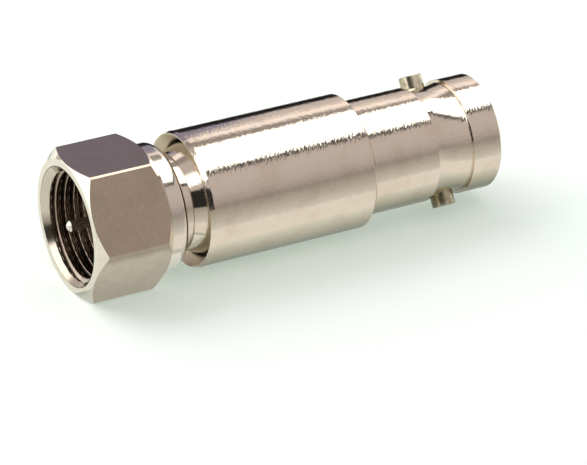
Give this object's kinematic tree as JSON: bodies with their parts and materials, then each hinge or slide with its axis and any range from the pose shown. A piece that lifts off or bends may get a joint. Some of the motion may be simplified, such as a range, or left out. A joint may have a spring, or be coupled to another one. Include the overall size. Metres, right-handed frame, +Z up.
{
  "type": "coaxial adapter",
  "caption": "Inline coaxial adapter with a swivelling hexagonal F-type screw plug at one end and a BNC bayonet jack at the other, nickel-plated, lying on its side.",
  "frame": {"origin": "centre of the coupling nut's front face, on the common axis", "axes": "+X along the common axis from the nut's front face to the jack's mouth, +Z up from the surface it lies on, a flat of the nut facing down"},
  "size_m": [0.0371, 0.0126, 0.0112],
  "materials": {
    "nickel_nut": "nickel-plated brass, polished with fine turning lines",
    "nickel_body": "nickel-plated brass, satin turned",
    "nickel_lug": "nickel-plated brass pins, dull",
    "plated_pin": "nickel-plated brass wire",
    "gold_contact": "gold-plated contact",
    "white_plastic": "moulded off-white plastic",
    "ptfe": "waxy white fluoroplastic"
  },
  "bodies": {
    "body": {"front_ferrule": "nickel_body", "main_body": "nickel_body", "bayonet_lug_upper": "nickel_lug", "bayonet_lug_lower": "nickel_lug", "centre_pin": "plated_pin", "front_insulator": "white_plastic", "rear_insulator": "white_plastic", "jack_insulator": "ptfe", "jack_contact": "gold_contact"},
    "nut": {"coupling_nut": "nickel_nut"}
  },
  "joints": [
    {"name": "nut_swivel", "type": "hinge", "parent": "body", "child": "nut", "pos_m": [0.0076, 0, 0], "axis": [1, 0, 0], "continuous": true}
  ]
}
